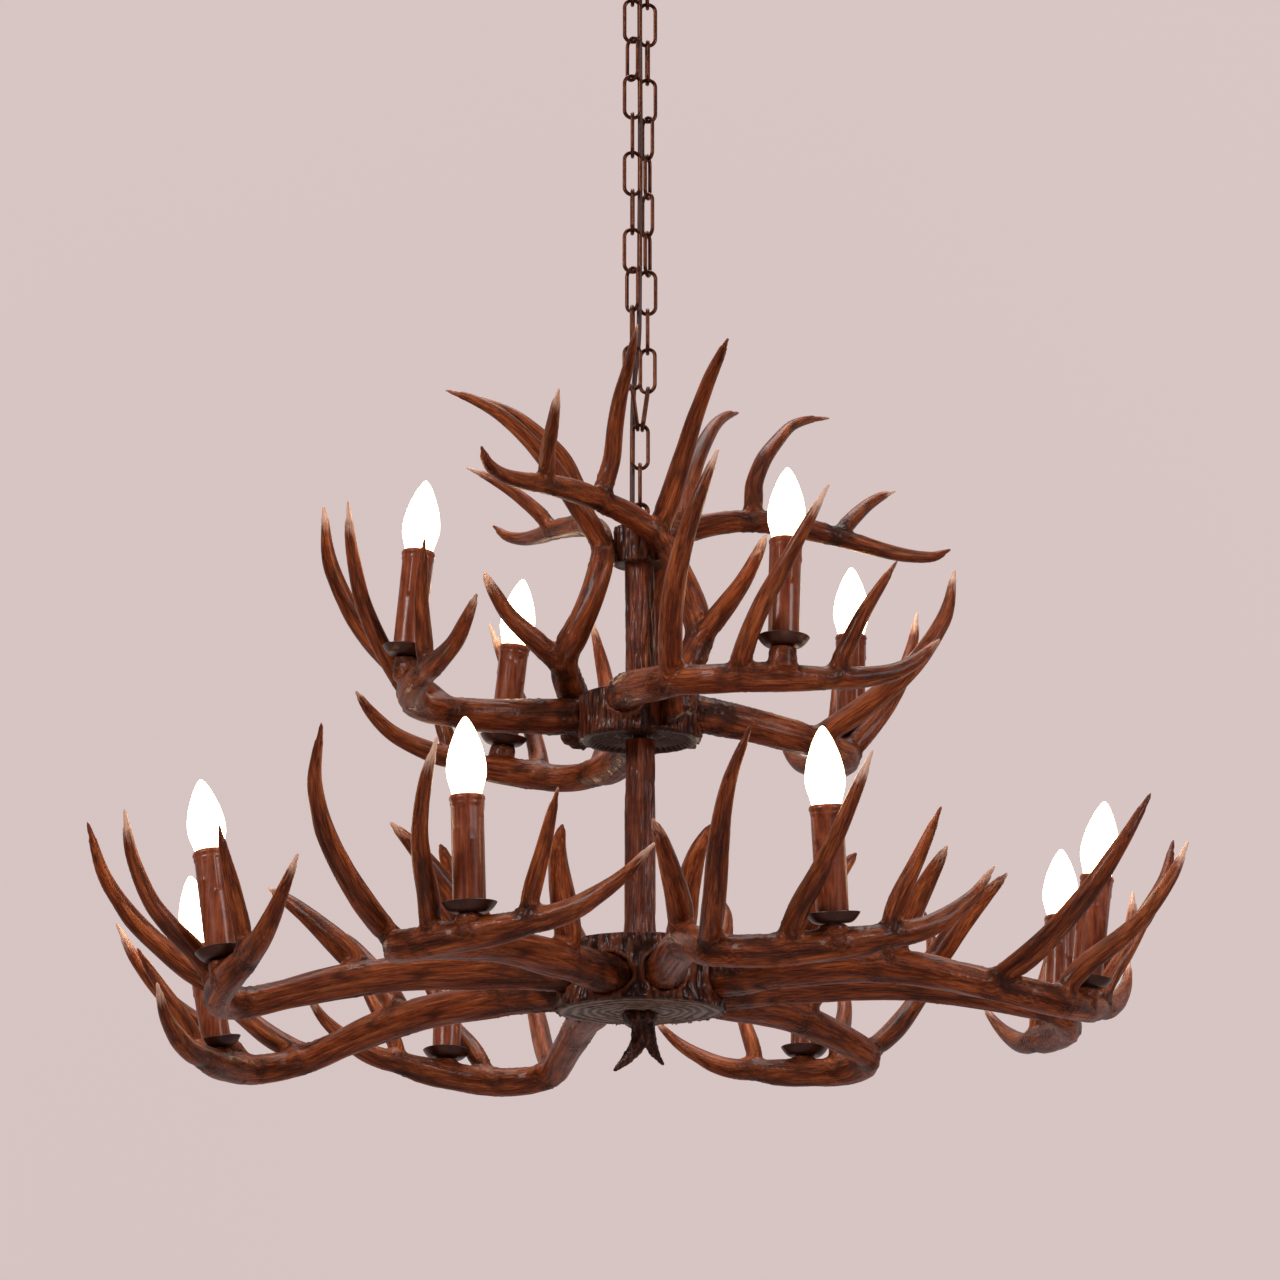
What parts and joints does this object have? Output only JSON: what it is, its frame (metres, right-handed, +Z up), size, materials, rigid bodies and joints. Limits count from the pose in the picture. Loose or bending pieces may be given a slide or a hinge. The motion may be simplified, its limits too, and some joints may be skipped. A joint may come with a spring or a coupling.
{
  "type": "antler chandelier",
  "caption": "Chain-hung chandelier of cast stag antlers in two tiers with candle lamps, an antler crown above and a forked antler finial below.",
  "frame": {"origin": "on the ceiling plane, at the middle of the bracket's two screw holes; everything hangs below it", "axes": "+Z up along the stem, -Y to the viewer of the picture, +X to the viewer's right"},
  "size_m": [1.0402, 1.0321, 1.1886],
  "materials": {
    "antler_resin": "stained brown cast resin with a soft gloss",
    "hub_resin": "stained brown cast resin, carved underside greyer",
    "bark_resin": "stained brown cast resin with bark ribs",
    "brown_metal": "bronze brown paint",
    "cord_sheath": "olive brown sheath",
    "plain_steel": "zinc plated",
    "lampholder": "bright ring under the candle sleeve",
    "sleeve": "brown with dark grain, glossy",
    "bulb": "frosted white, lit"
  },
  "bodies": {
    "ceiling_mount": {"ceiling_bracket": "plain_steel", "ceiling_nipple": "plain_steel", "canopy": "brown_metal", "collar_nut": "brown_metal", "chain_loop": "brown_metal"},
    "chain": {"chain_left": "brown_metal", "chain_right": "brown_metal", "joining_links": "brown_metal", "supply_cord": "cord_sheath"},
    "eye": {"eye_bolt": "brown_metal"},
    "chandelier": {"lower_antler_front_right": "antler_resin", "lower_antler_front_left": "antler_resin", "lower_antler_left_front": "antler_resin", "lower_antler_left_back": "antler_resin", "lower_antler_back_left": "antler_resin", "lower_antler_back_right": "antler_resin", "lower_antler_right_back": "antler_resin", "lower_antler_right_front": "antler_resin", "upper_antler_front": "antler_resin", "upper_antler_left": "antler_resin", "upper_antler_back": "antler_resin", "upper_antler_right": "antler_resin", "crown_antler_front": "antler_resin", "crown_antler_left": "antler_resin", "crown_antler_back": "antler_resin", "finial": "antler_resin", "lower_hub": "hub_resin", "upper_hub": "hub_resin", "crown_hub": "hub_resin", "lower_stem": "bark_resin", "upper_stem": "bark_resin", "lower_drip_pans": "brown_metal", "upper_drip_pans": "brown_metal", "stem_pipe": "plain_steel", "lower_antler_studs": "plain_steel", "upper_antler_studs": "plain_steel", "crown_antler_studs": "plain_steel", "lower_lamp_nipples": "plain_steel", "upper_lamp_nipples": "plain_steel", "lower_lampholders": "lampholder", "upper_lampholders": "lampholder", "lower_candle_sleeves": "sleeve", "upper_candle_sleeves": "sleeve"},
    "lower_lamp_front_right": {"lower_bulb_front_right": "bulb"},
    "lower_lamp_front_left": {"lower_bulb_front_left": "bulb"},
    "lower_lamp_left_front": {"lower_bulb_left_front": "bulb"},
    "lower_lamp_left_back": {"lower_bulb_left_back": "bulb"},
    "lower_lamp_back_left": {"lower_bulb_back_left": "bulb"},
    "lower_lamp_back_right": {"lower_bulb_back_right": "bulb"},
    "lower_lamp_right_back": {"lower_bulb_right_back": "bulb"},
    "lower_lamp_right_front": {"lower_bulb_right_front": "bulb"},
    "upper_lamp_front": {"upper_bulb_front": "bulb"},
    "upper_lamp_left": {"upper_bulb_left": "bulb"},
    "upper_lamp_back": {"upper_bulb_back": "bulb"},
    "upper_lamp_right": {"upper_bulb_right": "bulb"}
  },
  "joints": [
    {"name": "chain_swing", "type": "hinge", "parent": "ceiling_mount", "child": "chain", "pos_m": [0, 0, -0.07387], "axis": [1, 0, 0], "range_deg": [-7, 7]},
    {"name": "chandelier_swing", "type": "hinge", "parent": "chain", "child": "eye", "pos_m": [0, 0, -0.63525], "axis": [0, 1, 0], "range_deg": [-6, 6]},
    {"name": "chandelier_turn", "type": "hinge", "parent": "eye", "child": "chandelier", "pos_m": [0, 0, -0.63525], "axis": [0, 0, 1], "range_deg": [-12, 12]},
    {"name": "lower_front_right_unscrew", "type": "slide", "parent": "chandelier", "child": "lower_lamp_front_right", "axis": [-0.0511, -0.1163, 0.9919], "range_m": [0, 0.028]},
    {"name": "lower_front_left_unscrew", "type": "slide", "parent": "chandelier", "child": "lower_lamp_front_left", "axis": [-0.0308, -0.0478, 0.9984], "range_m": [0, 0.028]},
    {"name": "lower_left_front_unscrew", "type": "slide", "parent": "chandelier", "child": "lower_lamp_left_front", "axis": [-0.1436, 0.0701, 0.9872], "range_m": [0, 0.028]},
    {"name": "lower_left_back_unscrew", "type": "slide", "parent": "chandelier", "child": "lower_lamp_left_back", "axis": [-0.1768, -0.0348, 0.9836], "range_m": [0, 0.028]},
    {"name": "lower_back_left_unscrew", "type": "slide", "parent": "chandelier", "child": "lower_lamp_back_left", "axis": [0.008, 0.0988, 0.9951], "range_m": [0, 0.028]},
    {"name": "lower_back_right_unscrew", "type": "slide", "parent": "chandelier", "child": "lower_lamp_back_right", "axis": [0.0289, 0.0639, 0.9975], "range_m": [0, 0.028]},
    {"name": "lower_right_back_unscrew", "type": "slide", "parent": "chandelier", "child": "lower_lamp_right_back", "axis": [0.0433, 0.0833, 0.9956], "range_m": [0, 0.028]},
    {"name": "lower_right_front_unscrew", "type": "slide", "parent": "chandelier", "child": "lower_lamp_right_front", "axis": [0.1202, -0.0576, 0.9911], "range_m": [0, 0.028]},
    {"name": "upper_front_unscrew", "type": "slide", "parent": "chandelier", "child": "upper_lamp_front", "axis": [0.0317, 0.0217, 0.9993], "range_m": [0, 0.028]},
    {"name": "upper_left_unscrew", "type": "slide", "parent": "chandelier", "child": "upper_lamp_left", "axis": [0.091, 0.005, 0.9958], "range_m": [0, 0.028]},
    {"name": "upper_back_unscrew", "type": "slide", "parent": "chandelier", "child": "upper_lamp_back", "axis": [0.1141, -0.0597, 0.9917], "range_m": [0, 0.028]},
    {"name": "upper_right_unscrew", "type": "slide", "parent": "chandelier", "child": "upper_lamp_right", "axis": [0.0137, -0.0383, 0.9992], "range_m": [0, 0.028]}
  ]
}
